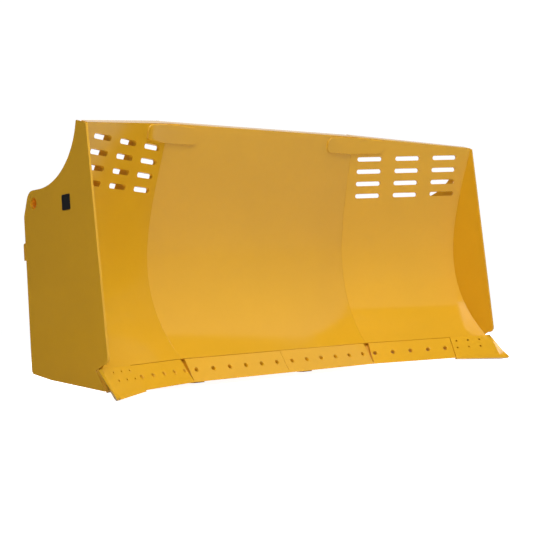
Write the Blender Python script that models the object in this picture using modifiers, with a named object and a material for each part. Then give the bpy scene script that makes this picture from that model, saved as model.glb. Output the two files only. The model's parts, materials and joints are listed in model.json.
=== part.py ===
"""Wide scoop bucket for a skid steer loader.

A curved moldboard stands on a bolt-on cutting edge.  Its centre section is
straight and its two wings turn forward to a pair of side plates.  The rear
carries ribs, a cross bar and a universal quick-attach frame.

Frame: metres, +X right, +Y to the rear (towards the loader), +Z up.  The
origin is on the ground, under the middle of the width and of the depth.
Every right-hand piece is made once, and its left-hand twin is its mirror.
"""
import math

import bmesh
import bpy
from mathutils import Matrix, Vector

# ---- driving dimensions -------------------------------------------------
HALF_WIDTH = 0.9525             # centre plane to the side plate's outer face
SIDE_THICKNESS = 0.0079
GAP = 0.0003                    # clearance between pieces that touch
GROUND_Z = -0.0065              # lowest level of the bits and heel shoes while building
ORIGIN_SHIFT = (0.0, 0.01885, -GROUND_Z)  # puts the origin under the middle, on the ground

# moldboard section: a smooth curve from the edge line up to the top edge
EDGE_LINE_Z = 0.092             # height where moldboard and cutting edge meet
MOLD_HEIGHT = 0.827
MOLD_TOP_Y = -0.0024
FOOT_SLOPE = 0.892              # dy/dz at the foot: the foot leans back
HEAD_SLOPE = -0.328             # dy/dz at the top: the head curls forward
MOLD_THICKNESS = 0.011
CURVE_STEPS = 22
SPARE = 0.012                   # extra height that a trimmed piece starts with
OVERRUN = 0.05                  # extra length that a piece has past the plane that ends it
SLOPE_STEP = 0.0001             # over which the face's slope is taken
ARC_STEP = 0.06                 # arc length for each round of a corner's segments
MERGE = 0.00001                 # points closer than this are one
CUT_MERGE = 0.000001            # the same, where a plane cuts

# wings
FOLD_X = 0.4631                 # the fold, measured on the edge line
WING_ANGLE = math.radians(24.9)
WING_TOP_FALL = 0.114           # drop of the top edge per metre of wing
WING_REACH = 0.62               # longer than a wing, before the side plate ends it

# cutting edge
EDGE_PITCH = math.radians(57.7) # slope of the edge's face above horizontal
EDGE_LENGTH = 0.097             # length of the face down the slope
EDGE_THICKNESS = 0.0127
EDGE_REVEAL = 0.0008            # half of the groove between edge and moldboard
SEAM = 0.0006                   # half of the gap between two edges
BAR_TOP = -0.009                # base bar, down the slope from the edge line
BAR_BOTTOM = 0.072
BAR_THICKNESS = 0.0127

BOLT_ROW = 0.0477               # bolt holes, down the slope
BOLT_PITCH = 0.0762
WING_FIRST_BOLT = 0.029
WING_BOLTS = 5
CENTER_BOLTS = 6                # on each side of the centre plane
BOLT_RADIUS = 0.0068
COUNTERSINK_RADIUS = 0.0095
COUNTERSINK_DEPTH = 0.004
HOLE_SIDES = 12
CUTTER_REACH = 0.05             # how far a cutter runs past the face that it opens

# end bits
BIT_START = 0.3672              # along the wing from the fold
BIT_PROUD = 0.0032              # stands in front of the cutting edge
BIT_CORNERS = {                 # along, down and out of the folded face
    "top_inner": (0.0, 0.0008, 0.0), "top_outer": (0.1790, 0.0008, 0.0),
    "fold_inner": (0.0, 0.0972, 0.0), "crease": (0.1911, 0.0954, 0.0),
    "lip_inner": (0.0, 0.1041, 0.0025), "lip": (0.2050, 0.1235, 0.0150),
    "bend": (0.2070, 0.0848, 0.0087), "tip": (0.2165, 0.1180, 0.0222),
}
BIT_FACES = (                   # flat face, outer margin, lower margin, corner
    ("top_inner", "fold_inner", "crease", "top_outer"), ("top_outer", "crease", "bend"),
    ("fold_inner", "lip_inner", "lip"), ("fold_inner", "lip", "crease"),
    ("crease", "lip", "tip"), ("crease", "tip", "bend"),
)
BIT_EDGE_THICKNESS = 0.0130     # at the outer edge, where the rear is tapered
BIT_REAR_TAPER = math.radians(35.0)
BIT_SOLE_FALL = 0.2             # the sole's drop per metre towards the rear
BIT_HOLE_PITCH = 0.0508
BIT_HOLE_ROWS = ((0.0239, 0.0195), (0.0196, 0.0511))
BIT_HOLE_RADIUS = 0.0043

# visibility slots in the wings
SLOT_COLUMNS = (0.0790, 0.2440, 0.4090)
SLOT_TOP_Z = 0.8309
SLOT_ROW_PITCH = 0.0479
SLOT_ROWS = 4
SLOT_LENGTH = 0.1075
SLOT_HEIGHT = 0.0175
SLOT_CUTTER_DEPTH = 0.25

# side plate: corners (y, z, radius), starting at the lower front
SIDE_CORNERS = (
    (-0.2409, 0.0211, 0.003), (-0.1943, 0.0872, 0.0), (-0.2153, 0.0945, 0.004),
    (-0.2320, 0.1035, 0.008), (-0.2628, 0.1035, 0.020), (-0.2088, 0.8620, 0.006),
    (-0.1542, 0.8800, 0.004), (-0.1085, 0.6861, 0.243), (0.1516, 0.6861, 0.040),
    (0.1857, 0.6035, 0.030), (0.1857, 0.0781, 0.014), (0.0705, 0.0568, 0.0),
)
LIFT_HOLE = (0.1229, 0.6426)    # y, z of the lifting eye in the side plate
LIFT_RADIUS = 0.0198
EYE_SIDES = 28
BOSS_RADIUS = 0.034
BOSS_LENGTH = 0.030
BADGE_CENTER = (-0.0757, 0.6264)
BADGE_SIZE = (0.046, 0.050, 0.0016)
BADGE_CORNER = 0.004

# rails, straps and ribs
RAIL_WIDTH = 0.038
RAIL_THICKNESS = 0.0095
STRAP_THICKNESS = 0.0048
STRAP_HALF_LENGTH = 0.137
STRAP_BOTTOM_Z = 0.8510
STRAP_TOP_DROP = 0.0045         # strap's top edge below the moldboard's top edge
STRAP_CORNER = 0.020
STRAP_END_DROP = 0.008          # the inner end's top corner below the strap's middle
STRAP_SEAT = 0.0002             # more clearance for the strap, which is flat over the curve
RIB_THICKNESS = 0.0095
RIB_FOOT_Z = 0.112
RIB_FOOT_CLEARANCE = 0.014      # from a centre rib's foot to the row of bolts
WING_RIBS_AT = (0.1615, 0.3265)
WING_RIB_DEPTH = 0.0415         # behind the moldboard's face, at the top edge
WING_RIB_TAPER = 0.080          # added depth per metre down
CENTER_RIBS_AT = (0.150, 0.420)

# rear structure and quick-attach frame
CROSS_BAR_Z = (0.4565, 0.5150)
CROSS_BAR_Y = (0.1860, 0.1987)
CROSS_BAR_CORNERS = (0.002, 0.009)  # radius of the lower and the upper rear corner
QA_HALF_WIDTH = 0.5715
QA_Y = (0.1990, 0.2085)
BELLY_FRONT = (-0.0040, 0.0355) # y, z of the belly plate's upper face
BELLY_REAR = (0.1984, 0.0205)
BELLY_THICKNESS = 0.0095
BELLY_BEVEL = 0.0060            # how far the front edge leans forward
BELLY_HALF_WIDTH = 0.4215
HEAD_BAR_Z = (0.5175, 0.5450)
HOOK_SECTION = ((0.2088, 0.5348), (0.2553, 0.4883), (0.2620, 0.4950), (0.2120, 0.5450),
                (0.2088, 0.5450))
LEDGE_Z = (0.0620, 0.0715)
LEDGE_REAR = 0.2850
WEDGE_SLOT_X = 0.490
WEDGE_SLOT_SIZE = (0.060, 0.034)
WEDGE_SLOT_Y = 0.2450
CHEEK_SECTION = ((0.1990, 0.0600), (0.2850, 0.0620), (0.2850, 0.1000), (0.2350, 0.1600),
                 (0.2280, 0.4300), (0.2620, 0.4750), (0.2620, 0.4950), (0.2120, 0.5450),
                 (0.1990, 0.5450))
SHOE_X = (0.250, 0.300)
SHOE_Y = (0.145, 0.180)

PAINT = (0.600, 0.330, 0.025)
PAINT_DARK = (0.560, 0.300, 0.022)
BLACK = (0.012, 0.012, 0.012)

FOLD_TAN = math.tan(WING_ANGLE / 2)
PARTS = "skid_steer_bucket"
CUTTERS = "cutters"


# ---- scene and collections ----------------------------------------------
def clear_scene():
    for obj in list(bpy.data.objects):
        bpy.data.objects.remove(obj, do_unlink=True)


def collection(name):
    made = bpy.data.collections.get(name) or bpy.data.collections.new(name)
    if made.name not in bpy.context.scene.collection.children:
        bpy.context.scene.collection.children.link(made)
    return made


def paint(name, colour, roughness=0.35, metallic=0.0):
    """Principled material, one for each piece."""
    mat = bpy.data.materials.new(name)
    mat.use_nodes = True
    shader = mat.node_tree.nodes["Principled BSDF"]
    shader.inputs["Base Color"].default_value = (*colour, 1.0)
    shader.inputs["Roughness"].default_value = roughness
    shader.inputs["Metallic"].default_value = metallic
    return mat


def finish(obj, colour=PAINT, smooth_angle=None):
    """Gives a finished piece its own material and its shading."""
    obj.data.materials.clear()
    obj.data.materials.append(paint(obj.name, colour))
    if smooth_angle:
        obj.data.shade_smooth()
        obj.data.set_sharp_from_angle(angle=smooth_angle)
    return obj


# ---- section geometry, in a frame whose x runs along the plate ------------
def face_y(height):
    """Depth of the moldboard's front face at a height above the edge line."""
    if height < 0:
        return FOOT_SLOPE * height
    if height > MOLD_HEIGHT:
        return MOLD_TOP_Y + HEAD_SLOPE * (height - MOLD_HEIGHT)
    t = height / MOLD_HEIGHT
    bow = FOOT_SLOPE * (t ** 3 - 2 * t ** 2 + t) + HEAD_SLOPE * (t ** 3 - t ** 2)
    return MOLD_HEIGHT * bow + MOLD_TOP_Y * (3 * t ** 2 - 2 * t ** 3)


def face_slope(height):
    return (face_y(height + SLOPE_STEP) - face_y(height - SLOPE_STEP)) / (2 * SLOPE_STEP)


def mold_point(height, depth):
    """(y, z) at a depth behind the face, square to it."""
    slope = face_slope(height)
    size = math.hypot(1, slope)
    return (face_y(height) + depth / size, EDGE_LINE_Z + height - depth * slope / size)


def stations(first=0):
    """Heights of the curve's points, shared by all that follows the moldboard."""
    return [MOLD_HEIGHT * i / CURVE_STEPS for i in range(first, CURVE_STEPS + 1)]


def mold_curve(heights, depth):
    return [mold_point(height, depth) for height in heights]


def edge_point(down, depth):
    """(y, z) down the cutting edge's slope and behind its face."""
    return (-down * math.cos(EDGE_PITCH) + depth * math.sin(EDGE_PITCH),
            EDGE_LINE_Z - down * math.sin(EDGE_PITCH) - depth * math.cos(EDGE_PITCH))


def edge_normal():
    """Points out of the cutting edge's face."""
    return Vector((0, -math.sin(EDGE_PITCH), math.cos(EDGE_PITCH)))


def edge_down():
    """Points down the cutting edge's slope."""
    return Vector((0, -math.cos(EDGE_PITCH), -math.sin(EDGE_PITCH)))


def wing_frame():
    """Right wing's frame: x along the wing, y square to it, z up."""
    return Matrix.Translation((FOLD_X, 0, 0)) @ Matrix.Rotation(-WING_ANGLE, 4, "Z")


def rounded(corners, segments=5):
    """Outline through corners (a, b, radius), each with a true arc."""
    outline = []
    count = len(corners)
    for i, (a, b, radius) in enumerate(corners):
        here = Vector((a, b))
        before = (Vector(corners[i - 1][:2]) - here).normalized()
        after = (Vector(corners[(i + 1) % count][:2]) - here).normalized()
        if radius == 0:
            outline.append(tuple(here))
            continue
        half = before.angle(after) / 2
        middle = here + (before + after).normalized() * (radius / math.sin(half))
        start = here + before * (radius / math.tan(half)) - middle
        end = here + after * (radius / math.tan(half)) - middle
        turn = math.atan2(start.x * end.y - start.y * end.x, start.dot(end))
        steps = max(segments, int(segments * radius * abs(turn) / ARC_STEP))
        for k in range(steps + 1):
            spoke = Matrix.Rotation(turn * k / steps, 2) @ start
            outline.append(tuple(middle + spoke))
    return outline


# ---- mesh helpers ----------------------------------------------------------
def plate(name, outline, thickness):
    """Flat plate: a filled 2D outline, extruded half its thickness each way."""
    curve = bpy.data.curves.new(name, "CURVE")
    curve.dimensions = "2D"
    curve.fill_mode = "BOTH"
    curve.extrude = thickness / 2
    line = curve.splines.new("POLY")
    line.points.add(len(outline) - 1)
    for point, (a, b) in zip(line.points, outline):
        point.co = (a, b, 0, 1)
    line.use_cyclic_u = True
    guide = bpy.data.objects.new(name + "_outline", curve)
    bpy.context.scene.collection.objects.link(guide)
    ready = guide.evaluated_get(bpy.context.evaluated_depsgraph_get())
    mesh = bpy.data.meshes.new_from_object(ready)
    mesh.name = name
    bpy.data.objects.remove(guide, do_unlink=True)
    bpy.data.curves.remove(curve)
    mesh.materials.clear()
    with_bmesh(mesh, lambda bm: bmesh.ops.remove_doubles(bm, verts=bm.verts, dist=MERGE))
    obj = bpy.data.objects.new(name, mesh)
    collection(PARTS).objects.link(obj)
    return obj


def with_bmesh(mesh, change):
    bm = bmesh.new()
    bm.from_mesh(mesh)
    change(bm)
    bm.normal_update()
    bm.to_mesh(mesh)
    bm.free()


def prism(name, outline, start, end, frame=None):
    """Section in (y, z), run along x from start to end."""
    obj = plate(name, outline, end - start)
    turn = Matrix(((0, 0, 1, 0), (1, 0, 0, 0), (0, 1, 0, 0), (0, 0, 0, 1)))
    obj.data.transform(turn @ Matrix.Translation((0, 0, (start + end) / 2)))
    obj.matrix_world = frame or Matrix()
    return obj


def trim(obj, point, normal):
    """Cuts off what lies beyond a plane of the piece's own frame, and caps it."""
    def change(bm):
        parts = bm.verts[:] + bm.edges[:] + bm.faces[:]
        cut = bmesh.ops.bisect_plane(bm, geom=parts, dist=CUT_MERGE, plane_co=point,
                                     plane_no=normal, clear_outer=True)
        rim = [e for e in cut["geom_cut"] if isinstance(e, bmesh.types.BMEdge)]
        capped = bmesh.ops.contextual_create(bm, geom=rim)
        bmesh.ops.triangulate(bm, faces=capped["faces"])
        bmesh.ops.recalc_face_normals(bm, faces=bm.faces)
    with_bmesh(obj.data, change)
    return obj


def trim_at_fold(obj, wing):
    """Mitres a piece at the fold, leaving half a gap on its side."""
    side = -1 if wing else 1
    normal = Vector((side, -FOLD_TAN, 0)).normalized()
    base = Vector((0 if wing else FOLD_X, 0, 0))
    return trim(obj, base - normal * GAP / 2, normal)


def center_prism(name, outline):
    """Section run across the centre, mitred at both folds."""
    obj = prism(name, outline, -FOLD_X - OVERRUN, FOLD_X + OVERRUN)
    trim_at_fold(obj, wing=False)
    normal = Vector((-1, -FOLD_TAN, 0)).normalized()
    return trim(obj, Vector((-FOLD_X, 0, 0)) - normal * GAP / 2, normal)


def trim_at_side(obj, distance):
    """Ends a wing piece on a plane of constant world X."""
    turned = wing_frame().to_3x3().inverted() @ Vector((1, 0, 0))
    point = turned * (distance - FOLD_X)
    return trim(obj, point, turned)


def settle(obj):
    """Makes a piece's modifiers final."""
    bpy.context.view_layer.update()
    ready = obj.evaluated_get(bpy.context.evaluated_depsgraph_get())
    mesh = bpy.data.meshes.new_from_object(ready)
    obj.modifiers.clear()
    old = obj.data
    obj.data = mesh
    mesh.name = obj.name
    bpy.data.meshes.remove(old)
    return obj


def cut(obj, cutter):
    """Removes a cutter's shape from a piece and keeps the result as its mesh."""
    change = obj.modifiers.new("cut", "BOOLEAN")
    change.operation = "DIFFERENCE"
    change.solver = "EXACT"
    change.object = cutter
    return settle(obj)


def cutter_from(name, bm, frame=None):
    """Turns a bmesh into a hidden cutter object."""
    mesh = bpy.data.meshes.new(name)
    bm.to_mesh(mesh)
    bm.free()
    obj = bpy.data.objects.new(name, mesh)
    collection(CUTTERS).objects.link(obj)
    obj.matrix_world = frame or Matrix()
    obj.display_type = "WIRE"
    obj.hide_render = True
    return obj


def mirrored(obj, name):
    """Left-hand twin of a right-hand piece."""
    mesh = obj.data.copy()
    mesh.name = name
    mesh.transform(Matrix.Scale(-1, 4, (1, 0, 0)) @ obj.matrix_world)
    mesh.flip_normals()
    twin = bpy.data.objects.new(name, mesh)
    collection(PARTS).objects.link(twin)
    return twin


def both(obj, colour=PAINT, smooth_angle=None):
    """Names a right-hand piece and makes its left-hand twin."""
    base = obj.name.removesuffix("_right")
    finish(mirrored(obj, base + "_left"), colour, smooth_angle)
    finish(obj, colour, smooth_angle)


# ---- moldboard ---------------------------------------------------------------
def mold_section(heights):
    front = mold_curve(heights, 0.0)
    back = mold_curve(heights, MOLD_THICKNESS)
    return front + back[::-1]


def trim_foot(obj):
    """Ends a moldboard just above the edge line, square to the edge's face."""
    return trim(obj, -edge_down() * EDGE_REVEAL + Vector((0, 0, EDGE_LINE_Z)), edge_down())


def wing_top_plane(drop=0.0):
    """Point and normal of the plane of the wing's top edge, in its frame."""
    point = Vector((0, MOLD_TOP_Y, EDGE_LINE_Z + MOLD_HEIGHT))
    along = Vector((1, 0, -WING_TOP_FALL))
    back = Vector((0, 1, -HEAD_SLOPE))
    normal = along.cross(back).normalized()
    return point - normal * drop, normal


def slot_cutter():
    bm = bmesh.new()
    half = (SLOT_LENGTH - SLOT_HEIGHT) / 2
    outline = rounded([(s * (half + SLOT_HEIGHT / 2), t * SLOT_HEIGHT / 2, SLOT_HEIGHT / 2.001)
                       for s, t in ((-1, -1), (1, -1), (1, 1), (-1, 1))], 3)
    for row in range(SLOT_ROWS):
        for x in SLOT_COLUMNS:
            z = SLOT_TOP_Z - row * SLOT_ROW_PITCH
            rim = [bm.verts.new((x + a, -CUTTER_REACH, z + b)) for a, b in outline]
            base = bm.faces.new(rim)
            pushed = bmesh.ops.extrude_face_region(bm, geom=[base])
            moved = [v for v in pushed["geom"] if isinstance(v, bmesh.types.BMVert)]
            bmesh.ops.translate(bm, verts=moved, vec=(0, SLOT_CUTTER_DEPTH, 0))
    bmesh.ops.recalc_face_normals(bm, faces=bm.faces)
    return cutter_from("slot_cutter", bm, wing_frame())


def make_moldboards():
    heights = [-SPARE] + stations()
    center = center_prism("moldboard_center", mold_section(heights))
    trim_foot(center)
    finish(center, smooth_angle=math.radians(20))

    wing = prism("moldboard_right", mold_section(heights + [MOLD_HEIGHT + SPARE]), -OVERRUN,
                 WING_REACH, wing_frame())
    trim_foot(wing)
    trim_at_fold(wing, wing=True)
    trim_at_side(wing, HALF_WIDTH - SIDE_THICKNESS - GAP)
    trim(wing, *wing_top_plane())
    cut(wing, slot_cutter())
    both(wing, smooth_angle=math.radians(20))


# ---- cutting edge, base bars and end bits --------------------------------------
def turned(bm, profile, matrix):
    """Adds a closed turned solid from (radius, z) points, run bottom to top."""
    rim = [bm.verts.new((radius, 0, z)) for radius, z in profile]
    edges = [bm.edges.new(pair) for pair in zip(rim, rim[1:])]
    bmesh.ops.spin(bm, geom=rim + edges, cent=(0, 0, 0), axis=(0, 0, 1),
                   angle=2 * math.pi, steps=HOLE_SIDES, use_merge=True)
    fresh = [v for v in bm.verts if not v.tag]
    bmesh.ops.remove_doubles(bm, verts=fresh, dist=CUT_MERGE)
    fresh = [v for v in bm.verts if not v.tag]
    bmesh.ops.transform(bm, matrix=matrix, verts=fresh)
    for vert in fresh:
        vert.tag = True


def bolt_cutter(name, places, frame, radius, sink_radius=0.0, proud=0.0):
    """Holes square to the edge's face at places (x, down), with a countersink."""
    reach = CUTTER_REACH
    profile = [(0, -reach), (radius, -reach), (radius, reach), (0, reach)]
    if sink_radius:
        spread = (sink_radius - radius) / COUNTERSINK_DEPTH
        wide = radius + spread * (COUNTERSINK_DEPTH + reach)
        profile = [(0, -reach), (radius, -reach), (radius, -COUNTERSINK_DEPTH),
                   (wide, reach), (0, reach)]
    turn = edge_normal().to_track_quat("Z", "Y").to_matrix().to_4x4()
    bm = bmesh.new()
    for x, down in places:
        face = Vector((x, *edge_point(down, -proud)))
        turned(bm, profile, Matrix.Translation(face) @ turn)
    bmesh.ops.recalc_face_normals(bm, faces=bm.faces)
    return cutter_from(name, bm, frame)


def edge_section():
    top = [edge_point(EDGE_REVEAL, 0.0), edge_point(EDGE_LENGTH, 0.0)]
    low = [edge_point(EDGE_LENGTH + SPARE, EDGE_THICKNESS), edge_point(EDGE_REVEAL, EDGE_THICKNESS)]
    return top + low


def lip_z():
    return edge_point(EDGE_LENGTH, 0.0)[1]


def bar_section(slack=0.0):
    front = EDGE_THICKNESS + GAP - slack
    back = EDGE_THICKNESS + GAP + BAR_THICKNESS + slack
    return [edge_point(BAR_TOP - slack, front), edge_point(BAR_BOTTOM + slack, front),
            edge_point(BAR_BOTTOM + slack, back), edge_point(BAR_TOP - slack, back)]


def square_end():
    """How far each edge's square end stands from the fold's line at the lip."""
    return FOLD_TAN * EDGE_LENGTH * math.cos(EDGE_PITCH)


def center_bolts():
    return [(side * (k + 0.5) * BOLT_PITCH, BOLT_ROW)
            for side in (-1, 1) for k in range(CENTER_BOLTS)]


def wing_bolts():
    return [(WING_FIRST_BOLT + k * BOLT_PITCH, BOLT_ROW) for k in range(WING_BOLTS)]


def bit_holes():
    return [(BIT_START + x + k * BIT_HOLE_PITCH, down)
            for x, down in BIT_HOLE_ROWS for k in range(3)]


def make_cutting_edges():
    sink = bolt_cutter("center_bolt_cutter", center_bolts(), None, BOLT_RADIUS,
                       COUNTERSINK_RADIUS)
    half = prism("cutting_edge_center_right", edge_section(), SEAM,
                 FOLD_X - square_end() - SEAM)
    trim(half, Vector((0, 0, lip_z())), Vector((0, 0, -1)))
    cut(half, sink)
    both(half)

    wing_sink = bolt_cutter("wing_bolt_cutter", wing_bolts(), wing_frame(), BOLT_RADIUS,
                            COUNTERSINK_RADIUS)
    wing = prism("cutting_edge_wing_right", edge_section(), square_end() + SEAM,
                 BIT_START - SEAM, wing_frame())
    trim(wing, Vector((0, 0, lip_z())), Vector((0, 0, -1)))
    cut(wing, wing_sink)
    both(wing)


def make_base_bars():
    straight = bolt_cutter("center_bar_cutter", center_bolts(), None, BOLT_RADIUS)
    center = center_prism("base_bar_center", bar_section())
    cut(center, straight)
    finish(center, PAINT_DARK)

    wing = prism("base_bar_right", bar_section(), -OVERRUN, WING_REACH, wing_frame())
    trim_at_fold(wing, wing=True)
    trim_at_side(wing, HALF_WIDTH)
    cut(wing, bolt_cutter("wing_bar_cutter", wing_bolts(), wing_frame(), BOLT_RADIUS))
    cut(wing, bolt_cutter("bit_bar_cutter", bit_holes(), wing_frame(), BIT_HOLE_RADIUS))
    both(wing, PAINT_DARK)


def bit_place(along, down, out=0.0):
    """Point of an end bit's face, in the wing's frame."""
    y, z = edge_point(down, -BIT_PROUD - out)
    return Vector((BIT_START + SEAM + along, y, z))


def make_end_bits():
    """A thicker corner plate, folded forward along its outer and lower margins."""
    mesh = bpy.data.meshes.new("end_bit_right")
    bm = bmesh.new()
    corners = {name: bm.verts.new(bit_place(*place)) for name, place in BIT_CORNERS.items()}
    for names in BIT_FACES:
        bm.faces.new([corners[name] for name in names])
    bm.to_mesh(mesh)
    bm.free()
    bit = bpy.data.objects.new("end_bit_right", mesh)
    collection(PARTS).objects.link(bit)
    bit.matrix_world = wing_frame()
    shell = bit.modifiers.new("plate", "SOLIDIFY")
    shell.thickness = EDGE_THICKNESS + BIT_PROUD
    shell.offset = -1.0
    shell.solidify_mode = "NON_MANIFOLD"
    shell.nonmanifold_thickness_mode = "CONSTRAINTS"
    settle(bit)

    low, high = [bit_place(*BIT_CORNERS[name]) for name in ("tip", "top_outer")]
    aside = (high - low).cross(edge_normal()).normalized()
    aside = aside if aside.x > 0 else -aside
    behind = (high - low).cross(aside).normalized()
    behind = behind if behind.y > 0 else -behind
    taper = behind * math.cos(BIT_REAR_TAPER) + aside * math.sin(BIT_REAR_TAPER)
    trim(bit, low + behind * BIT_EDGE_THICKNESS, taper)

    lip, seam = [bit_place(*BIT_CORNERS[name]) for name in ("lip", "lip_inner")]
    sole = (lip - seam).cross(Vector((0, 1, -BIT_SOLE_FALL))).normalized()
    trim(bit, lip, sole if sole.z < 0 else -sole)
    trim(bit, Vector((0, 0, GROUND_Z)), Vector((0, 0, -1)))
    cut(bit, bolt_cutter("bit_hole_cutter", bit_holes(), wing_frame(), BIT_HOLE_RADIUS))
    both(bit)


# ---- side plates, lifting bosses, badge ------------------------------------------
def make_side_plates():
    side = prism("side_plate_right", rounded(SIDE_CORNERS), HALF_WIDTH - SIDE_THICKNESS,
                 HALF_WIDTH)
    eye = bmesh.new()
    bmesh.ops.create_cone(eye, cap_ends=True, segments=EYE_SIDES, radius1=LIFT_RADIUS,
                          radius2=LIFT_RADIUS, depth=2 * CUTTER_REACH,
                          matrix=Matrix.Translation((HALF_WIDTH, *LIFT_HOLE))
                          @ Matrix.Rotation(math.pi / 2, 4, "Y"))
    cut(side, cutter_from("eye_cutter", eye))
    passage = prism("bar_passage", bar_section(2 * GAP), BIT_START, WING_REACH + OVERRUN,
                    wing_frame())
    collection(PARTS).objects.unlink(passage)
    collection(CUTTERS).objects.link(passage)
    passage.hide_render = True
    passage.display_type = "WIRE"
    cut(side, passage)
    both(side)


def ring(name, inner, outer, length):
    """Turned ring about Z, from its section with a Screw modifier."""
    mesh = bpy.data.meshes.new(name)
    bm = bmesh.new()
    corners = [(outer, length), (outer, 0), (inner, 0), (inner, length)]
    rim = [bm.verts.new((r, 0, z)) for r, z in corners]
    for i in range(4):
        bm.edges.new((rim[i], rim[(i + 1) % 4]))
    bm.to_mesh(mesh)
    bm.free()
    obj = bpy.data.objects.new(name, mesh)
    collection(PARTS).objects.link(obj)
    turn = obj.modifiers.new("turn", "SCREW")
    turn.steps = EYE_SIDES
    turn.render_steps = EYE_SIDES
    turn.use_merge_vertices = True
    turn.merge_threshold = MERGE
    return settle(obj)


def make_lifting_bosses():
    """Thick rings behind the lifting eyes."""
    boss = ring("lifting_boss_right", LIFT_RADIUS, BOSS_RADIUS, BOSS_LENGTH)
    inner = HALF_WIDTH - SIDE_THICKNESS - GAP
    boss.matrix_world = (Matrix.Translation((inner, *LIFT_HOLE))
                         @ Matrix.Rotation(-math.pi / 2, 4, "Y"))
    both(boss, smooth_angle=math.radians(30))


def make_badge():
    """Small blank plate on the left side plate."""
    wide, tall, thick = BADGE_SIZE
    y, z = BADGE_CENTER
    outline = rounded([(y + s * wide / 2, z + t * tall / 2, BADGE_CORNER)
                       for s, t in ((-1, -1), (1, -1), (1, 1), (-1, 1))], 3)
    badge = prism("side_badge", outline, -HALF_WIDTH - GAP - thick, -HALF_WIDTH - GAP)
    finish(badge, BLACK)


# ---- top rails, fold straps, ribs --------------------------------------------------
def rail_section(top):
    first = MOLD_THICKNESS + GAP
    low = top - RAIL_THICKNESS
    return [along_head(low, first), along_head(low, first + RAIL_WIDTH),
            along_head(top, first + RAIL_WIDTH), along_head(top, first)]


def along_head(up, depth):
    """(y, z) in the straight frame of the moldboard's head."""
    size = math.hypot(1, HEAD_SLOPE)
    y = MOLD_TOP_Y + (up * HEAD_SLOPE + depth) / size
    z = EDGE_LINE_Z + MOLD_HEIGHT + (up - depth * HEAD_SLOPE) / size
    return (y, z)


def make_top_rails():
    """Flanges along the top edge; a wing's one narrows outwards to a straight rear."""
    finish(center_prism("top_rail_center", rail_section(0.0)))

    heights = stations(CURVE_STEPS - 4) + [MOLD_HEIGHT + 2 * SPARE]
    front = mold_curve(heights, MOLD_THICKNESS + GAP)
    back = mold_curve(heights, MOLD_THICKNESS + GAP + RAIL_WIDTH)
    tall = front + back[::-1]
    wing = prism("top_rail_right", tall, -OVERRUN, WING_REACH, wing_frame())
    trim_at_fold(wing, wing=True)
    trim_at_side(wing, HALF_WIDTH - SIDE_THICKNESS - GAP)
    trim(wing, *wing_top_plane())
    point, normal = wing_top_plane(RAIL_THICKNESS)
    trim(wing, point, -normal)
    rear = along_head(0.0, MOLD_THICKNESS + GAP + RAIL_WIDTH)[0]
    trim(wing, Vector((0, rear, 0)), Vector((0, 1, 0)))
    both(wing)


def strap_top(along):
    """Height of the strap's top edge; along is negative on the centre section."""
    fall = WING_TOP_FALL * along if along > 0 else 0.0
    return EDGE_LINE_Z + MOLD_HEIGHT - STRAP_TOP_DROP - fall


def make_fold_straps():
    """A thin flat bar with round ends, bent over the fold near the top."""
    corners = [(-STRAP_HALF_LENGTH, STRAP_BOTTOM_Z, STRAP_CORNER),
               (STRAP_HALF_LENGTH, STRAP_BOTTOM_Z, STRAP_CORNER),
               (STRAP_HALF_LENGTH, strap_top(STRAP_HALF_LENGTH), STRAP_CORNER),
               (0.0, strap_top(0.0), 0.0),
               (-STRAP_HALF_LENGTH, strap_top(0.0) - STRAP_END_DROP, STRAP_CORNER)]
    strap = plate("fold_strap_right", rounded(corners), STRAP_THICKNESS)
    inverse = wing_frame().to_3x3()

    def drape(bm):
        parts = bm.verts[:] + bm.edges[:] + bm.faces[:]
        bmesh.ops.bisect_plane(bm, geom=parts, dist=CUT_MERGE, plane_co=(0, 0, 0), plane_no=(1, 0, 0))
        for vert in bm.verts:
            along, z, out = vert.co
            y = face_y(z - EDGE_LINE_Z) - (GAP + STRAP_SEAT + STRAP_THICKNESS / 2 + out)
            if along <= CUT_MERGE:
                vert.co = (FOLD_X + FOLD_TAN * y + along, y, z)
            else:
                vert.co = inverse @ Vector((along - FOLD_TAN * y, y, z)) + Vector((FOLD_X, 0, 0))
        bmesh.ops.triangulate(bm, faces=bm.faces)
        bmesh.ops.recalc_face_normals(bm, faces=bm.faces)
    with_bmesh(strap.data, drape)
    both(strap)


def over_bar():
    """(y, z) just above the base bar's upper corner, behind the moldboard."""
    return edge_point(BAR_TOP - 2 * GAP, EDGE_THICKNESS + 2 * GAP)


def wing_rib_section():
    heights = stations(1) + [MOLD_HEIGHT + SPARE]
    front = mold_curve(heights, MOLD_THICKNESS + GAP)
    back = []
    for height in [RIB_FOOT_Z - EDGE_LINE_Z] + heights[::3] + [heights[-1]]:
        deep = WING_RIB_DEPTH + WING_RIB_TAPER * (MOLD_HEIGHT - height)
        back.append((face_y(height) + deep, EDGE_LINE_Z + height))
    return [over_bar()] + front + back[::-1]


def make_wing_ribs():
    point, normal = wing_top_plane(RAIL_THICKNESS + 2 * GAP)
    for place, x in zip(("inner", "outer"), WING_RIBS_AT):
        rib = prism(f"wing_rib_{place}_right", wing_rib_section(), x - RIB_THICKNESS / 2,
                    x + RIB_THICKNESS / 2, wing_frame())
        trim(rib, point, normal)
        both(rib, PAINT_DARK)


def belly_z(y):
    """Height of the belly plate's upper face."""
    (y0, z0), (y1, z1) = BELLY_FRONT, BELLY_REAR
    return z0 + (z1 - z0) * (y - y0) / (y1 - y0)


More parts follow.
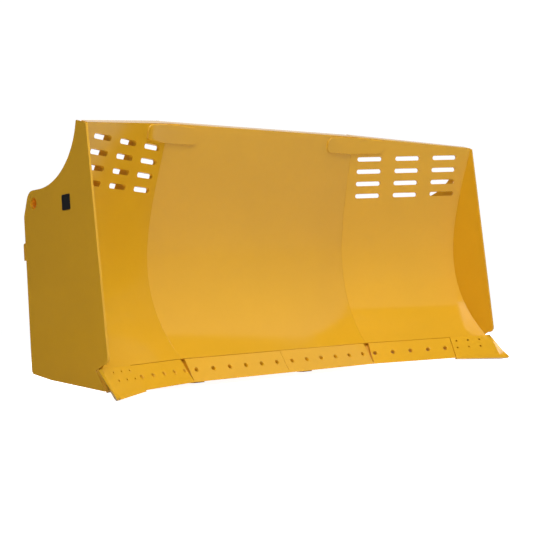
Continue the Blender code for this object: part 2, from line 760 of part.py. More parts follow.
def center_rib_section():
    front = mold_curve(stations(1)[:-1], MOLD_THICKNESS + GAP)
    rear = QA_Y[0] - GAP
    notch = CROSS_BAR_Y[0] - GAP
    under = -RAIL_THICKNESS - GAP
    bar_back = EDGE_THICKNESS + BAR_THICKNESS + 3 * GAP
    foot = edge_point(BOLT_ROW - RIB_FOOT_CLEARANCE, bar_back)
    return [over_bar()] + front + [
        along_head(under, MOLD_THICKNESS + 2 * GAP), along_head(under, MOLD_THICKNESS + RAIL_WIDTH),
        (rear, HEAD_BAR_Z[0] - GAP), (rear, CROSS_BAR_Z[1] + GAP), (notch, CROSS_BAR_Z[1] + GAP),
        (notch, CROSS_BAR_Z[0] - GAP), (rear, CROSS_BAR_Z[0] - GAP),
        (rear, belly_z(rear) + GAP), (foot[0], belly_z(foot[0]) + GAP), foot,
        edge_point(BAR_TOP - 2 * GAP, bar_back)]


def make_center_ribs():
    for place, x in zip(("inner", "outer"), CENTER_RIBS_AT):
        rib = prism(f"center_rib_{place}_right", center_rib_section(), x - RIB_THICKNESS / 2,
                    x + RIB_THICKNESS / 2)
        both(rib, PAINT_DARK)


# ---- rear bar, belly, quick-attach frame, heel shoes ----------------------------------
def box_section(y, z):
    return [(y[0], z[0]), (y[1], z[0]), (y[1], z[1]), (y[0], z[1])]


def make_cross_bar():
    (y0, y1), (z0, z1) = CROSS_BAR_Y, CROSS_BAR_Z
    low, high = CROSS_BAR_CORNERS
    section = rounded([(y0, z0, 0.0), (y1, z0, low), (y1, z1, high), (y0, z1, 0.0)], 4)
    finish(prism("rear_cross_bar", section, -HALF_WIDTH, HALF_WIDTH))


def make_belly_plate():
    (y0, z0), (y1, z1) = BELLY_FRONT, BELLY_REAR
    section = [(y0, z0), (y0 - BELLY_BEVEL, z0 - BELLY_THICKNESS), (y1, z1 - BELLY_THICKNESS),
               (y1, z1)]
    finish(prism("belly_plate", section, -BELLY_HALF_WIDTH, BELLY_HALF_WIDTH), PAINT_DARK)


def make_quick_attach():
    """Face plate, head bar with its hook, ledge with wedge slots, skirt and cheeks."""
    sections = {
        "attach_face_plate": box_section(QA_Y, (LEDGE_Z[1] + GAP, HEAD_BAR_Z[0] - GAP)),
        "attach_head_bar": box_section(QA_Y, HEAD_BAR_Z),
        "attach_top_hook": HOOK_SECTION,
        "attach_skirt": box_section(QA_Y, (belly_z(QA_Y[0]) - BELLY_THICKNESS, LEDGE_Z[0] - GAP)),
    }
    for name, section in sections.items():
        finish(prism(name, section, -QA_HALF_WIDTH, QA_HALF_WIDTH))
    ledge = prism("attach_bottom_ledge", box_section((QA_Y[0], LEDGE_REAR), LEDGE_Z),
                  -QA_HALF_WIDTH, QA_HALF_WIDTH)
    holes = bmesh.new()
    for side in (-1, 1):
        middle = Matrix.Translation((side * WEDGE_SLOT_X, WEDGE_SLOT_Y, LEDGE_Z[0]))
        size = Matrix.Diagonal((*WEDGE_SLOT_SIZE, CUTTER_REACH, 1.0))
        bmesh.ops.create_cube(holes, size=1.0, matrix=middle @ size)
    cut(ledge, cutter_from("wedge_slot_cutter", holes))
    finish(ledge)
    cheek = prism("attach_cheek_right", CHEEK_SECTION, QA_HALF_WIDTH + GAP,
                  QA_HALF_WIDTH + GAP + RIB_THICKNESS)
    both(cheek)


def make_heel_shoes():
    """Flat-bottomed wear blocks under the belly plate."""
    (y0, y1), (x0, x1) = SHOE_Y, SHOE_X
    top = BELLY_THICKNESS + GAP
    section = [(y0, GROUND_Z), (y1, GROUND_Z), (y1, belly_z(y1) - top), (y0, belly_z(y0) - top)]
    both(prism("heel_shoe_right", section, x0, x1), PAINT_DARK)


def move_to_origin():
    """Moves all pieces and cutters so that the origin is under the middle."""
    for name in (PARTS, CUTTERS):
        for obj in collection(name).objects:
            obj.matrix_world = Matrix.Translation(ORIGIN_SHIFT) @ obj.matrix_world


def main():
    clear_scene()
    make_moldboards()
    make_cutting_edges()
    make_base_bars()
    make_end_bits()
    make_side_plates()
    make_lifting_bosses()
    make_badge()
    make_top_rails()
    make_fold_straps()
    make_wing_ribs()
    make_center_ribs()
    make_cross_bar()
    make_belly_plate()
    make_quick_attach()
    make_heel_shoes()
    move_to_origin()


main()
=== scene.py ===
"""Looks of the skid steer bucket: plate edges, welds, badge rim, enamel, studio, camera.

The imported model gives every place.  Lengths are in metres and angles in degrees.
"""
import json
import math
import random

import bmesh
import bpy
from mathutils import Matrix, Vector
from mathutils.bvhtree import BVHTree


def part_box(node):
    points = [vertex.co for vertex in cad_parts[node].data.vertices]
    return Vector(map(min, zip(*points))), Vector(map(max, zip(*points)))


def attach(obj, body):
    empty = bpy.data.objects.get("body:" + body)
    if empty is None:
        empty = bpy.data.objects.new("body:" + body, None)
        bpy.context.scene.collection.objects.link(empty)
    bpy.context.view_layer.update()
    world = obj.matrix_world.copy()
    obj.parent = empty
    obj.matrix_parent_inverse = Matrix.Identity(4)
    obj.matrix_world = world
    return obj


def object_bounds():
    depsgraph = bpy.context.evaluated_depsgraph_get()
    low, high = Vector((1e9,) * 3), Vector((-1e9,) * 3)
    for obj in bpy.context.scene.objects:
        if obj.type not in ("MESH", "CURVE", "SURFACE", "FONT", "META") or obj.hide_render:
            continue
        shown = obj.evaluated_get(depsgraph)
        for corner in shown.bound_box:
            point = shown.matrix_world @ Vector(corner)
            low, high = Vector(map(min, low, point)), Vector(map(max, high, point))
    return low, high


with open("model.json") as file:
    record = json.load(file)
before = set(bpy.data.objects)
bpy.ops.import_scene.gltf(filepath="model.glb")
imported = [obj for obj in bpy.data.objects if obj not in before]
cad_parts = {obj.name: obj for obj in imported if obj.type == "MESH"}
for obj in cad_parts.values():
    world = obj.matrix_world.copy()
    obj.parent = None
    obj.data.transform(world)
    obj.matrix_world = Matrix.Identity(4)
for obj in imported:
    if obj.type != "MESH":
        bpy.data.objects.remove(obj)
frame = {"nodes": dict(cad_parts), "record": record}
NODES = frame["nodes"]
CAD_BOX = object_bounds()

# ---- studio ----------------------------------------------------------------------
EVEN_LIGHT = 0.0                # surroundings' brightness for diffuse light
WALL_GLOSS = 0.67               # white wall in front, seen in reflections
DIM_GLOSS = 0.09                # the rest of the studio, seen in reflections
WALL_MIDDLE = (0.87, -0.50, 0.0)
WALL_TOP = 0.70                 # sine of the elevation of the wall's top
WALL_BLUR = 0.015
WALL_SIDE = -0.57               # cosine from the wall's middle to its sides
WALL_SIDE_BLUR = 0.15
WHITE = (1.0, 1.0, 1.0, 1.0)
BACKDROP = 1.02                 # brightness the eye sees behind the object
FLOOR_RADIUS = 60.0
FLOOR_DROP = 0.0005
FLOOR_COLOUR = (0.90, 0.90, 0.89, 1.0)
FLOOR_WHITE = 0.94              # near the object; shadows darken only what is missing to 1
SHADOW_FADE = (1.5, 5.0)        # distances over which the floor turns fully white
POOL_NEAR, POOL_FAR = 0.74, 0.62    # floor's brightness in reflections
POOL_FADE = (2.0, 8.0)
POOL_SIDE = (-1.0, 0.0)         # the pool ends this far ahead of the object
POOL_DIM = 0.12

LIGHT_DISTANCE = 4.5
LIGHTS = {          # azimuth from the front, elevation, width, height, watts, what it lights
    "key": (-47, 57, 2.6, 2.6, 80.0, "body"), "top": (0, 62, 2.0, 2.0, 101.0, "body"),
    "key_shine": (-23, 53, 3.4, 2.0, 118.0, "gloss"),
    "top_right": (25, 62, 2.0, 2.0, 22.4, "body"), "left": (-50, 32, 2.0, 2.0, 25.8, "body"),
    "low_front": (10, 5, 2.0, 2.0, 17.5, "body"), "low_left": (-50, 5, 2.0, 2.0, 7.0, "body"),
    "low_right": (110, 5, 2.0, 2.0, 46.0, "body"), "rear": (182, 36, 2.6, 2.6, 110.0, "body"),
}

# ---- camera ----------------------------------------------------------------------
CAMERA_PLACE = (-3.1517, -3.4515, 0.2441)
CAMERA_HEADING, CAMERA_PITCH, CAMERA_ROLL = -41.87, 2.086, -3.32
LENS_MM, SENSOR_MM = 84.57, 36.0
VIEW_REACH = 200.0

# ---- paint -----------------------------------------------------------------------
YELLOW = (0.724, 0.383, 0.0165)
# painted shade: the side plates' paint is YELLOW made darker, standing in for shade
YELLOW_SHADED_SIDE = (0.705, 0.370, 0.0165)
# painted light: the cutting edges' paint is YELLOW made lighter, standing in for light
YELLOW_LIT_EDGE = (0.755, 0.400, 0.0165)
# painted shade: the rear frame's paint is YELLOW made darker and more orange, for shade and yellow
# bounce light between its plates
YELLOW_SHADED_FRAME = (0.705, 0.335, 0.015)
# painted light: the lifting bosses' paint is a brighter, more orange copy of the yellow, for the
# light seen in their eyes
ORANGE_LIT_BOSS = (0.900, 0.360, 0.018)
BLACK = (0.010, 0.010, 0.011)
SLOT_STYLE = {                  # slot: (colour, roughness, rolling streaks)
    "moldboard_paint": (YELLOW, 0.095, 0.35),
    "side_paint": (YELLOW_SHADED_SIDE, 0.06, 0.25),
    "edge_paint": (YELLOW_LIT_EDGE, 0.125, 0.60),
    "frame_paint": (YELLOW_SHADED_FRAME, 0.20, 0.30),
}
BOSS_ROUGHNESS, BOSS_STREAKS = 0.20, 0.1
WELD_ROUGHNESS = 0.04           # added to the paint's own over a weld
PAINT_IOR = 1.5
NOISE_MIDDLE = (0.3, 0.7)       # the part of a noise's range that is used
CLOUD_SCALE, CLOUD_DARK, CLOUD_LIGHT = 3.5, 0.98, 1.02
MOTTLE_SCALE, MOTTLE_TONE, MOTTLE_SHARE = 60.0, 0.95, 0.25
STREAK_SCALE, STREAK_STRETCH, STREAK_ROUGHNESS = 4.0, (6.0, 90.0, 90.0), 0.03
PEEL_SCALE, PEEL_RELIEF, MOTTLE_RELIEF = 420.0, 0.35, 0.6
GLOSS_WANDER = 0.02             # roughness varies this much either way
BUMP_STRENGTH, BUMP_DEPTH = 0.055, 0.0006
# painted highlight: a lighter, whiter band of paint along sharp edges, broken up by noise
EDGE_HIGHLIGHT_SCALE, EDGE_HIGHLIGHT_WIDTH = 140.0, 0.0022
EDGE_HIGHLIGHT_TURN = (0.985, 0.86)      # cosines at which the painted edge highlight starts and is full
EDGE_HIGHLIGHT_TINT, EDGE_HIGHLIGHT_TONE = (1.0, 1.12, 2.6), 1.12
EDGE_HIGHLIGHT_SHARE, EDGE_HIGHLIGHT_ROUGHNESS = 0.40, 0.08
GRAIN_SCALE, GRAIN_ROUGHNESS = 2200.0, (0.42, 0.60)
GRAIN_STRENGTH, GRAIN_DEPTH = 0.35, 0.0001
BLACK_CLOUD_SCALE, BLACK_DARK, BLACK_LIGHT = 90.0, 0.8, 1.6

# ---- plate edges -----------------------------------------------------------------
EDGE_RADIUS = {"moldboard_paint": 0.0008, "side_paint": 0.0012, "edge_paint": 0.0010,
               "frame_paint": 0.0009, "badge_black": 0.0004}
MERGE = 0.00002
FLAT_ANGLE = 0.4                # neighbouring faces within this angle are one flat face
SHARP_ANGLE = 35.0              # edges sharper than this are rounded, and may be welded
BEVEL_SEGMENTS = 2
NORMAL_WEIGHT = 80

# ---- welds -----------------------------------------------------------------------
WELD_REACH = 0.0013             # a plate's edge this close to another plate is welded
WELD_SAMPLE = 0.012
WELD_JOIN = 0.0015              # seams whose ends are this close make one bead
WELD_PITCH = 0.0070             # length of one ripple
WELD_RINGS = 4                  # sections for each ripple
WELD_SPAN = 4                   # faces across a bead
WELD_SINK = 0.0006              # a bead's roots lie this far inside both plates
WELD_SHORTEST = 0.015
FACING = 0.8                    # cosine: a plate's hidden face lies against the other plate
CROSSING = 0.7                  # cosine: its free face stands up from the other plate
TURNING = 0.6                   # cosine: a bead may turn this far where seams meet
SWELL, RIPPLE = 0.06, 0.10      # a bead's size wanders, and rises at each ripple
HOLLOW = 0.20                   # a bead's face is sunk this far below a quarter round
BOW = 0.35                      # ripples lean forward, in ripple lengths
END_SIZE = 0.35                 # size of a bead at its very ends
STRONG, LIGHT, FINE = 0.0065, 0.0045, 0.0026
SIDES = ("left", "right")
WELDS = [                       # plate, the plate it is welded to, leg, slot
    *[(f"center_rib_{place}_{side}", other, STRONG, "frame_paint")
      for side in SIDES for place in ("inner", "outer")
      for other in ("moldboard_center", "belly_plate", "attach_face_plate", "top_rail_center")],
    *[(f"wing_rib_{place}_{side}", f"{other}_{side}", STRONG, "frame_paint")
      for side in SIDES for place in ("inner", "outer")
      for other in ("moldboard", "top_rail")],
    *[(f"moldboard_{side}", f"side_plate_{side}", LIGHT, "moldboard_paint") for side in SIDES],
    *[(f"top_rail_{side}", f"moldboard_{side}", LIGHT, "moldboard_paint") for side in SIDES],
    *[(f"top_rail_{side}", f"side_plate_{side}", LIGHT, "moldboard_paint") for side in SIDES],
    ("top_rail_center", "moldboard_center", LIGHT, "moldboard_paint"),
    *[(f"base_bar_{side}", f"moldboard_{side}", LIGHT, "frame_paint") for side in SIDES],
    ("base_bar_center", "moldboard_center", LIGHT, "frame_paint"),
    *[(f"side_plate_{side}", "rear_cross_bar", STRONG, "side_paint") for side in SIDES],
    *[(f"lifting_boss_{side}", f"side_plate_{side}", LIGHT, "side_paint") for side in SIDES],
    *[(f"attach_cheek_{side}", "rear_cross_bar", STRONG, "frame_paint") for side in SIDES],
    ("attach_face_plate", "attach_bottom_ledge", STRONG, "frame_paint"),
    ("belly_plate", "attach_skirt", LIGHT, "frame_paint"),
    *[(f"heel_shoe_{side}", "belly_plate", LIGHT, "frame_paint") for side in SIDES],
    *[(f"fold_strap_{side}", other, FINE, "moldboard_paint") for side in SIDES
      for other in ("moldboard_center", f"moldboard_{side}")],
]

# ---- badge -----------------------------------------------------------------------
BADGE_CORNER = 0.004
RIM_WIDTH, RIM_HEIGHT = 0.0022, 0.0009
RIM_INSET, RIM_SINK, RIM_STEPS, CORNER_STEPS = 0.0002, 0.0002, 6, 6
PIN_INSET, PIN_RADIUS, PIN_HEIGHT, PIN_FINENESS = 0.0062, 0.0016, 0.0007, 3


class Graph:
    """Short calls for building a material's nodes."""

    def __init__(self, name):
        self.material = bpy.data.materials.new(name)
        self.material.use_nodes = True
        self.nodes = self.material.node_tree.nodes
        self.links = self.material.node_tree.links
        self.shader = self.nodes["Principled BSDF"]

    def add(self, kind, inputs=None, **settings):
        node = self.nodes.new(kind)
        for key, value in settings.items():
            setattr(node, key, value)
        for key, value in (inputs or {}).items():
            if isinstance(value, bpy.types.NodeSocket):
                self.links.new(value, node.inputs[key])
            else:
                node.inputs[key].default_value = value
        return node

    def noise(self, coordinates, scale, detail=3.0):
        made = self.add("ShaderNodeTexNoise", {"Vector": coordinates, "Scale": scale,
                                               "Detail": detail})
        return made.outputs["Fac"]

    def remap(self, value, low, high, out_low, out_high):
        made = self.add("ShaderNodeMapRange", {"Value": value, "From Min": low,
                                               "From Max": high, "To Min": out_low,
                                               "To Max": out_high})
        return made.outputs["Result"]

    def math(self, operation, a, b):
        made = self.add("ShaderNodeMath", {0: a, 1: b}, operation=operation)
        return made.outputs["Value"]

    def blend(self, factor, a, b):
        made = self.add("ShaderNodeMix", data_type="RGBA")
        for socket, value in zip((made.inputs[0], made.inputs[6], made.inputs[7]), (factor, a, b)):
            if isinstance(value, bpy.types.NodeSocket):
                self.links.new(value, socket)
            else:
                socket.default_value = value
        return made.outputs[2]

    def stretched(self, coordinates, size):
        made = self.add("ShaderNodeMapping", {"Vector": coordinates, "Scale": size})
        return made.outputs["Vector"]


def tone(colour, factor):
    """A lighter or darker paint colour, with full opacity."""
    return (*[min(1.0, c * factor) for c in colour], 1.0)


def painted_edge_highlight(g, place):
    """Where the painted highlight lies: along sharp edges, broken up by noise."""
    rounded = g.add("ShaderNodeBevel", {"Radius": EDGE_HIGHLIGHT_WIDTH}, samples=4).outputs["Normal"]
    true = g.add("ShaderNodeNewGeometry").outputs["Normal"]
    aligned = g.add("ShaderNodeVectorMath", {0: rounded, 1: true},
                    operation="DOT_PRODUCT").outputs["Value"]
    patches = g.remap(g.noise(place, EDGE_HIGHLIGHT_SCALE, 5.0), 0.42, 0.62, 0.1, 1.0)
    return g.math("MULTIPLY", g.remap(aligned, *EDGE_HIGHLIGHT_TURN, 0.0, 1.0), patches)


def enamel(name, colour, roughness, streaks):
    """Semi-gloss enamel sprayed over rolled plate, with a painted highlight and rougher paint
    along its edges.
    """
    g = Graph(name)
    place = g.add("ShaderNodeTexCoord").outputs["Object"]
    cloud = g.noise(place, CLOUD_SCALE, 2.0)
    mottle = g.noise(place, MOTTLE_SCALE, 4.0)
    streak = g.noise(g.stretched(place, STREAK_STRETCH), STREAK_SCALE, 4.0)
    peel = g.noise(place, PEEL_SCALE, 2.0)
    edge_highlight = painted_edge_highlight(g, place)

    body = g.blend(g.remap(cloud, *NOISE_MIDDLE, 0.0, 1.0),
                   tone(colour, CLOUD_DARK), tone(colour, CLOUD_LIGHT))
    body = g.blend(g.remap(mottle, 0.45, 0.75, 0.0, MOTTLE_SHARE), body, tone(colour, MOTTLE_TONE))
    # painted highlight along the edges: a lighter, whiter copy of the paint
    highlight_colour = tone([c * tint for c, tint in zip(colour, EDGE_HIGHLIGHT_TINT)], EDGE_HIGHLIGHT_TONE)
    body = g.blend(g.math("MULTIPLY", edge_highlight, EDGE_HIGHLIGHT_SHARE), body, highlight_colour)
    g.links.new(body, g.shader.inputs["Base Color"])

    gloss = g.remap(mottle, *NOISE_MIDDLE, roughness - GLOSS_WANDER, roughness + GLOSS_WANDER)
    gloss = g.math("ADD", gloss, g.remap(streak, 0.35, 0.7, 0.0, STREAK_ROUGHNESS * streaks))
    gloss = g.math("ADD", gloss, g.math("MULTIPLY", edge_highlight, EDGE_HIGHLIGHT_ROUGHNESS))
    g.links.new(gloss, g.shader.inputs["Roughness"])
    g.shader.inputs["Metallic"].default_value = 0.0
    g.shader.inputs["IOR"].default_value = PAINT_IOR

    relief = g.math("ADD", g.math("MULTIPLY", peel, PEEL_RELIEF),
                    g.math("MULTIPLY", streak, streaks))
    relief = g.math("ADD", relief, g.math("MULTIPLY", mottle, MOTTLE_RELIEF))
    bump = g.add("ShaderNodeBump", {"Height": relief, "Strength": BUMP_STRENGTH,
                                    "Distance": BUMP_DEPTH})
    g.links.new(bump.outputs["Normal"], g.shader.inputs["Normal"])
    return g.material


def moulded_black(name):
    """Matt black plastic with a fine grain."""
    g = Graph(name)
    place = g.add("ShaderNodeTexCoord").outputs["Object"]
    grain = g.noise(place, GRAIN_SCALE, 2.0)
    cloud = g.noise(place, BLACK_CLOUD_SCALE, 3.0)
    body = g.blend(g.remap(cloud, 0.35, 0.7, 0.0, 1.0),
                   tone(BLACK, BLACK_DARK), tone(BLACK, BLACK_LIGHT))
    g.links.new(body, g.shader.inputs["Base Color"])
    g.links.new(g.remap(grain, *NOISE_MIDDLE, *GRAIN_ROUGHNESS), g.shader.inputs["Roughness"])
    bump = g.add("ShaderNodeBump", {"Height": grain, "Strength": GRAIN_STRENGTH,
                                    "Distance": GRAIN_DEPTH})
    g.links.new(bump.outputs["Normal"], g.shader.inputs["Normal"])
    return g.material


# ---- finish of the CAD nodes -----------------------------------------------------
def round_edges(obj, radius):
    """Rounds a plate's edges and smooths what is curved, with modifiers only."""
    weld = obj.modifiers.new("weld", "WELD")
    weld.merge_threshold = MERGE
    flat = obj.modifiers.new("flat", "DECIMATE")
    flat.decimate_type = "DISSOLVE"
    flat.angle_limit = math.radians(FLAT_ANGLE)
    bevel = obj.modifiers.new("rounded", "BEVEL")
    bevel.width = radius
    bevel.segments = BEVEL_SEGMENTS
    bevel.limit_method = "ANGLE"
    bevel.angle_limit = math.radians(SHARP_ANGLE)
    bevel.miter_outer = "MITER_ARC"
    bevel.use_clamp_overlap = True
    normals = obj.modifiers.new("normals", "WEIGHTED_NORMAL")
    normals.weight = NORMAL_WEIGHT
    normals.keep_sharp = False


def dress_nodes(materials):
    """Gives each CAD node its slot's material, or the one kept for its own kind of piece."""
    slots = {part["node"]: part["material_slot"] for part in frame["record"]["subparts"]}
    for name, obj in NODES.items():
        slot = slots[name]
        obj.material_slots[0].material = materials.get(name.rsplit("_", 1)[0], materials[slot])
        round_edges(obj, EDGE_RADIUS[slot])


# ---- weld beads and the badge's rim ----------------------------------------------
def solid_of(name):
    """A CAD node's faces in world space, with flat areas joined."""
    bm = bmesh.new()
    bm.from_mesh(NODES[name].data)
    bm.transform(NODES[name].matrix_world)
    bmesh.ops.remove_doubles(bm, verts=bm.verts, dist=MERGE)
    bmesh.ops.dissolve_limit(bm, angle_limit=math.radians(FLAT_ANGLE), verts=bm.verts,
                             edges=bm.edges)
    bm.normal_update()
    return bm


def seam_points(edge, target, leg):
    """Runs of (point, outwards, away from the target) where an edge lies on the target."""
    runs = [[]]
    for hidden, free in (edge.link_faces, reversed(edge.link_faces)):
        start, end = (v.co for v in edge.verts)
        steps = max(2, math.ceil((end - start).length / WELD_SAMPLE))
        for k in range(steps + 1):
            point = start.lerp(end, k / steps)
            _, normal, _, gap = target.find_nearest(point - free.normal * leg / 2)
            room = target.find_nearest(point + free.normal * leg)[3]
            if (gap is not None and gap < WELD_REACH and room < leg / 3
                    and hidden.normal.dot(normal) < -FACING
                    and abs(free.normal.dot(normal)) < CROSSING):
                runs[-1].append((point, free.normal.copy(), normal.copy()))
            elif runs[-1]:
                runs.append([])
        if runs[-1]:
            runs.append([])
    return [run for run in runs if len(run) > 1]


def joined(runs):
    """Chains runs whose ends meet and whose sides agree."""
    chains = []
    for run in runs:
        merged = True
        while merged:
            merged = False
            for other in chains:
                for a, b in ((run, other), (run[::-1], other), (run, other[::-1]),
                             (run[::-1], other[::-1])):
                    if ((a[-1][0] - b[0][0]).length < WELD_JOIN
                            and a[-1][1].dot(b[0][1]) > TURNING):
                        chains.remove(other)
                        run, merged = a + b[1:], True
                        break
                if merged:
                    break
        chains.append(run)
    return chains


def volume_of(faces):
    """Signed volume inside closed faces; negative when they face inwards."""
    total = 0.0
    for face in faces:
        first, *others = [vert.co for vert in face.verts]
        total += sum(first.dot(a.cross(b)) for a, b in zip(others, others[1:]))
    return total / 6


def bead_ring(bm, root, tangent, side, rise, size, taper, ripple):
    """One section of a bead: a hollow quarter round from plate to plate."""
    ring = []
    for j in range(WELD_SPAN + 1):
        angle = math.pi / 2 * j / WELD_SPAN
        reach = (size * taper + WELD_SINK) * (1.0 - HOLLOW * math.sin(2 * angle))
        crest = ripple if 0 < j < WELD_SPAN else 1.0
        bow = tangent * (BOW * WELD_PITCH * math.sin(2 * angle) * taper)
        ring.append(bm.verts.new(root + bow + (side * math.cos(angle)
                                               + rise * math.sin(angle)) * reach * crest))
    return ring


def close_bead(bm, rings):
    """Joins a bead's rings and caps its ends, with every face looking outwards."""
    faces = [bm.faces.new(rings[0][::-1]), bm.faces.new(rings[-1])]
    for a, b in zip(rings, rings[1:]):
        for j in range(WELD_SPAN + 1):
            after = (j + 1) % (WELD_SPAN + 1)
            faces.append(bm.faces.new((a[j], a[after], b[after], b[j])))
    if volume_of(faces) < 0:
        bmesh.ops.reverse_faces(bm, faces=faces)


def lay_bead(bm, chain, leg, dice):
    """One rippled fillet along a chain of seam points."""
    lengths = [0.0]
    for (a, _, _), (b, _, _) in zip(chain, chain[1:]):
        lengths.append(lengths[-1] + (b - a).length)
    total = lengths[-1]
    if total < WELD_SHORTEST:
        return
    count = max(WELD_RINGS, round(total / (WELD_PITCH / WELD_RINGS)))
    rings, place, swell = [], 0, 1.0
    for k in range(count + 1):
        along = total * k / count
        while place < len(lengths) - 2 and lengths[place + 1] < along:
            place += 1
        share = (along - lengths[place]) / max(1e-9, lengths[place + 1] - lengths[place])
        (p, u, v), (q, m, n) = chain[place], chain[place + 1]
        side, rise = u.lerp(m, share).normalized(), v.lerp(n, share).normalized()
        if k % WELD_RINGS == 0:
            swell = 1.0 + dice.uniform(-SWELL, SWELL)
        ripple = 1.0 + RIPPLE * abs(math.sin(math.pi * k / WELD_RINGS))
        taper = min(1.0, END_SIZE + min(along, total - along) / WELD_PITCH)
        root = p.lerp(q, share) - (side + rise) * WELD_SINK
        rings.append(bead_ring(bm, root, (q - p).normalized(), side, rise, leg * swell,
                               taper, ripple))
    close_bead(bm, rings)


def make_welds(materials):
    """Beads for every pair in the table; a pair with no seam between its plates gets none."""
    for plate, other, leg, slot in WELDS:
        source, against = solid_of(plate), solid_of(other)
        target = BVHTree.FromBMesh(against)
        runs = []
        for edge in source.edges:
            if len(edge.link_faces) == 2 and edge.calc_face_angle() > math.radians(SHARP_ANGLE):
                runs += seam_points(edge, target, leg)
        name = f"weld_{plate}_to_{other}"
        dice = random.Random(name)
        bm = bmesh.new()
        for chain in joined(runs):
            lay_bead(bm, chain, leg, dice)
        if bm.faces:
            bm.normal_update()
            add_piece(name, bm, materials["weld_" + slot])
        for used in (source, against, bm):
            used.free()


def rounded_rectangle(width, height, radius):
    """Points (a, b) anticlockwise round the middle."""
    points = []
    for corner, (s, t) in enumerate(((1, 1), (-1, 1), (-1, -1), (1, -1))):
        for k in range(CORNER_STEPS + 1):
            angle = math.pi / 2 * (corner + k / CORNER_STEPS)
            points.append((s * (width / 2 - radius) + radius * math.cos(angle),
                           t * (height / 2 - radius) + radius * math.sin(angle)))
    return points


def make_badge_rim(material):
    """Raised round-topped rim on the edge of the blank badge, and four pins."""
    low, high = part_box("side_badge")
    middle, face = (low + high) / 2, low.x
    width, height = high.y - low.y, high.z - low.z
    bm = bmesh.new()
    loops = []
    for k in range(RIM_STEPS + 1):
        angle = math.pi * k / RIM_STEPS
        inset = RIM_WIDTH / 2 * (1 - math.cos(angle)) + RIM_INSET
        out = RIM_HEIGHT * math.sin(angle) - RIM_SINK
        outline = rounded_rectangle(width - 2 * inset, height - 2 * inset, BADGE_CORNER - inset)
        loops.append([bm.verts.new((face - out, middle.y + a, middle.z + b))
                      for a, b in outline])
    for a, b in zip(loops, loops[1:] + loops[:1]):
        for j in range(len(a)):
            bm.faces.new((a[j], a[j - 1], b[j - 1], b[j]))
    for s in (-1, 1):
        for t in (-1, 1):
            place = Vector((face, middle.y + s * (width / 2 - PIN_INSET),
                            middle.z + t * (height / 2 - PIN_INSET)))
            turn = Matrix.Translation(place) @ Matrix.Diagonal((PIN_HEIGHT, PIN_RADIUS,
                                                                PIN_RADIUS, 1.0))
            bmesh.ops.create_icosphere(bm, subdivisions=PIN_FINENESS, radius=1.0, matrix=turn)
    bmesh.ops.recalc_face_normals(bm, faces=bm.faces)
    add_piece("badge_rim", bm, material)
    bm.free()


def add_piece(name, bm, material):
    """A new piece of the look, fixed to the bucket's body."""
    mesh = bpy.data.meshes.new(name)
    bm.to_mesh(mesh)
    mesh.materials.append(material)
    mesh.shade_smooth()
    piece = bpy.data.objects.new(name, mesh)
    bpy.context.scene.collection.objects.link(piece)
    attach(piece, "root")


# ---- stage, light and camera -----------------------------------------------------
class Surroundings(Graph):
    """The world's nodes, built with the same short calls."""

    def __init__(self, name):
        self.world = bpy.data.worlds.new(name)
        self.world.use_nodes = True
        self.nodes = self.world.node_tree.nodes
        self.links = self.world.node_tree.links


def floor_look():
    """White to the eye with a faint shadow, and a light pool in reflections."""
    g = Graph("studio_floor")
    g.shader.inputs["Base Color"].default_value = FLOOR_COLOUR
    g.shader.inputs["Roughness"].default_value = 0.9
    g.shader.inputs["Specular IOR Level"].default_value = 0.0
    path = g.add("ShaderNodeLightPath").outputs
    place = g.add("ShaderNodeTexCoord").outputs["Object"]
    reach = g.add("ShaderNodeVectorMath", {0: place}, operation="LENGTH").outputs["Value"]
    seen = g.remap(reach, *SHADOW_FADE, FLOOR_WHITE, BACKDROP)
    g.links.new(g.math("MULTIPLY", seen, path["Is Camera Ray"]),
                g.shader.inputs["Emission Strength"])
    g.shader.inputs["Emission Color"].default_value = WHITE
    ahead = g.add("ShaderNodeVectorMath", {0: place, 1: WALL_MIDDLE},
                  operation="DOT_PRODUCT").outputs["Value"]
    pool = g.math("MULTIPLY", g.remap(reach, *POOL_FADE, POOL_NEAR, POOL_FAR),
                  g.remap(ahead, *POOL_SIDE, POOL_DIM, 1.0))
    glow = g.add("ShaderNodeEmission", {"Color": WHITE, "Strength": pool})
    mix = g.add("ShaderNodeMixShader", {0: path["Is Glossy Ray"], 1: g.shader.outputs[0],
                                        2: glow.outputs[0]})
    g.links.new(mix.outputs[0], g.nodes["Material Output"].inputs["Surface"])
    return g.material


def make_floor():
    """A pale round floor just under the object."""
    mesh = bpy.data.meshes.new("studio_floor")
    bm = bmesh.new()
    bmesh.ops.create_circle(bm, cap_ends=True, radius=FLOOR_RADIUS, segments=96)
    bm.to_mesh(mesh)
    bm.free()
    floor = bpy.data.objects.new("studio_floor", mesh)
    bpy.context.scene.collection.objects.link(floor)
    floor.location.z = -FLOOR_DROP
    mesh.materials.append(floor_look())


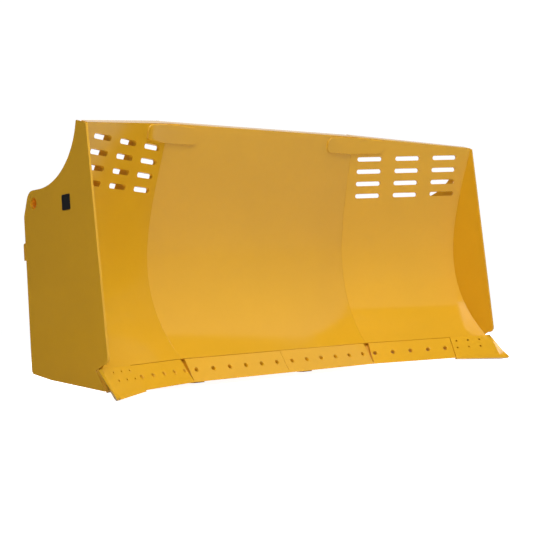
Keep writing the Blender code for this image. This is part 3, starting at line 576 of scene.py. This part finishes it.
def make_world():
    """White to the eye; reflections see a white wall in front and a dim studio elsewhere."""
    g = Surroundings("studio")
    bpy.context.scene.world = g.world
    direction = g.add("ShaderNodeTexCoord").outputs["Generated"]
    height = g.add("ShaderNodeSeparateXYZ", {0: direction}).outputs["Z"]
    below = g.remap(height, WALL_TOP + WALL_BLUR, WALL_TOP - WALL_BLUR, 0.0, 1.0)
    turned = g.add("ShaderNodeVectorMath", {0: direction, 1: WALL_MIDDLE},
                   operation="DOT_PRODUCT").outputs["Value"]
    front = g.remap(turned, WALL_SIDE - WALL_SIDE_BLUR, WALL_SIDE + WALL_SIDE_BLUR, 0.0, 1.0)
    wall = g.remap(g.math("MULTIPLY", below, front), 0.0, 1.0, DIM_GLOSS, WALL_GLOSS)
    path = g.add("ShaderNodeLightPath").outputs
    lit = g.add("ShaderNodeMix", {"Factor": path["Is Glossy Ray"], "A": EVEN_LIGHT, "B": wall})
    seen = g.add("ShaderNodeMix", {"Factor": path["Is Camera Ray"], "A": lit.outputs[0],
                                   "B": BACKDROP})
    background = g.nodes["Background"]
    g.links.new(seen.outputs[0], background.inputs["Strength"])
    background.inputs["Color"].default_value = WHITE


def softbox(name, direction, width, height, power, lights):
    """Rectangular light aimed at the middle; it lights the paint's body or its gloss."""
    light = bpy.data.lights.new(name, "AREA")
    light.shape = "RECTANGLE"
    light.size = width
    light.size_y = height
    light.energy = power
    obj = bpy.data.objects.new(name, light)
    bpy.context.scene.collection.objects.link(obj)
    low, high = CAD_BOX
    away = Vector(direction).normalized()
    obj.location = (low + high) / 2 + away * LIGHT_DISTANCE
    obj.rotation_euler = away.to_track_quat("Z", "Y").to_euler()
    obj.visible_glossy = lights == "gloss"
    obj.visible_diffuse = lights == "body"


def make_lights():
    """All softboxes of the table, at one distance."""
    for name, (azimuth, elevation, width, height, power, lights) in LIGHTS.items():
        turn, rise = math.radians(azimuth), math.radians(elevation)
        direction = (math.sin(turn) * math.cos(rise), -math.cos(turn) * math.cos(rise),
                     math.sin(rise))
        softbox(name, direction, width, height, power, lights)


def make_camera():
    """Long lens, low and in front of the left-hand end."""
    camera = bpy.data.cameras.new("camera")
    camera.sensor_width = SENSOR_MM
    camera.lens = LENS_MM
    camera.clip_end = VIEW_REACH
    obj = bpy.data.objects.new("camera", camera)
    bpy.context.scene.collection.objects.link(obj)
    obj.matrix_world = (Matrix.Translation(CAMERA_PLACE)
                        @ Matrix.Rotation(math.radians(CAMERA_HEADING), 4, "Z")
                        @ Matrix.Rotation(math.pi / 2 + math.radians(CAMERA_PITCH), 4, "X")
                        @ Matrix.Rotation(math.radians(CAMERA_ROLL), 4, "Z"))
    bpy.context.scene.camera = obj


# ---- the whole scene -------------------------------------------------------------
materials = {slot: enamel(slot, *style) for slot, style in SLOT_STYLE.items()}
materials["badge_black"] = moulded_black("badge_black")
# the bosses' brighter orange enamel is painted light
materials["lifting_boss"] = enamel("lifting_boss", ORANGE_LIT_BOSS, BOSS_ROUGHNESS, BOSS_STREAKS)
for slot, (colour, roughness, _) in SLOT_STYLE.items():
    materials["weld_" + slot] = enamel("weld_" + slot, colour, roughness + WELD_ROUGHNESS, 0.0)
dress_nodes(materials)
make_welds(materials)
make_badge_rim(materials["badge_black"])
make_floor()
make_world()
make_lights()
make_camera()
bpy.context.scene.view_settings.view_transform = "Standard"
